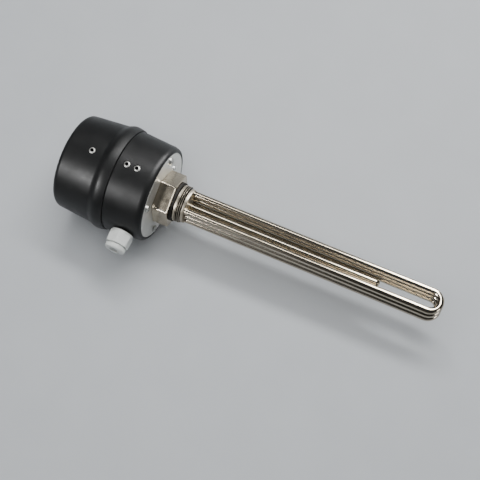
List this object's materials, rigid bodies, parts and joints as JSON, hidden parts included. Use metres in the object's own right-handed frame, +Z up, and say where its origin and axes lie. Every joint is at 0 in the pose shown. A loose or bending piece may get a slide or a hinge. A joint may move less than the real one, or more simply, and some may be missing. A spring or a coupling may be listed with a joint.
{
  "type": "screw plug immersion heater",
  "caption": "Screw-in immersion heater: bright hairpin elements and a sensor pocket on a hex pipe-thread plug, with a round black terminal housing and a grey cable gland.",
  "frame": {"origin": "centre of the gasket's sealing face, where the plug seats on the tank", "axes": "+X along the elements into the tank, cable gland toward -Y, +Z up with the side screws on top"},
  "size_m": [0.496, 0.1582, 0.1374],
  "materials": {
    "housing_black": "satin moulded black",
    "element_steel": "bright drawn tube",
    "plug_metal": "turned, nickel tone",
    "plate_metal": "plain sheet",
    "fastener_zinc": "zinc plated",
    "seal_rubber": "matt",
    "gland_grey": "moulded light grey",
    "control_plastic": "moulded cream",
    "end_ceramic": "glazed white, stands for ceramic",
    "terminal_brass": "plain",
    "capillary_copper": "plain, stands for copper",
    "button_red": "moulded red"
  },
  "bodies": {
    "heater": {"housing_base": "housing_black", "housing_cap": "housing_black", "heating_element_top": "element_steel", "heating_element_middle": "element_steel", "heating_element_bottom": "element_steel", "sensor_pocket": "element_steel", "screw_plug": "plug_metal", "plug_ring_nut": "plug_metal", "mounting_plate": "plate_metal", "cap_bracket": "plate_metal", "plate_screws": "fastener_zinc", "plate_nuts": "fastener_zinc", "base_side_screws": "fastener_zinc", "cap_side_screws": "fastener_zinc", "terminal_nuts": "fastener_zinc", "terminal_washers": "fastener_zinc", "terminal_pins": "fastener_zinc", "control_screws": "fastener_zinc", "terminal_block_screws": "fastener_zinc", "earth_stud": "fastener_zinc", "earth_washer": "fastener_zinc", "earth_nut": "fastener_zinc", "plug_gasket": "seal_rubber", "plate_seal": "seal_rubber", "parting_seal": "seal_rubber", "gland_washer": "seal_rubber", "gland_body": "gland_grey", "gland_locknut": "gland_grey", "temperature_control": "control_plastic", "limiter": "control_plastic", "terminal_block": "control_plastic", "element_end_seals": "end_ceramic", "star_bridge": "terminal_brass", "terminal_clamp_screws": "terminal_brass", "control_bulb": "capillary_copper", "control_capillary": "capillary_copper", "limiter_bulb": "capillary_copper", "limiter_capillary": "capillary_copper"},
    "gland_seal": {"gland_seal": "seal_rubber"},
    "gland_nut": {"gland_nut": "gland_grey"},
    "control_spindle": {"control_spindle": "fastener_zinc"},
    "reset_button": {"reset_button": "button_red"}
  },
  "joints": [
    {"name": "gland_travel", "type": "slide", "parent": "heater", "child": "gland_seal", "axis": [0, 1, 0], "range_m": [-0.0015, 0.001]},
    {"name": "gland_nut_turn", "type": "hinge", "parent": "gland_seal", "child": "gland_nut", "pos_m": [-0.0475, -0.085, 0], "axis": [0, 1, 0], "range_deg": [-365, 245]},
    {"name": "control_setting", "type": "hinge", "parent": "heater", "child": "control_spindle", "pos_m": [-0.118, -0.02, 0.008], "axis": [1, 0, 0], "range_deg": [0, 270]},
    {"name": "limiter_reset", "type": "slide", "parent": "heater", "child": "reset_button", "axis": [1, 0, 0], "range_m": [0, 0.002], "stiffness_N_per_m": 400}
  ],
  "couplings": [
    {"joint": "gland_nut_turn", "follows": "gland_travel", "rad_per_m": 4188.8}
  ]
}
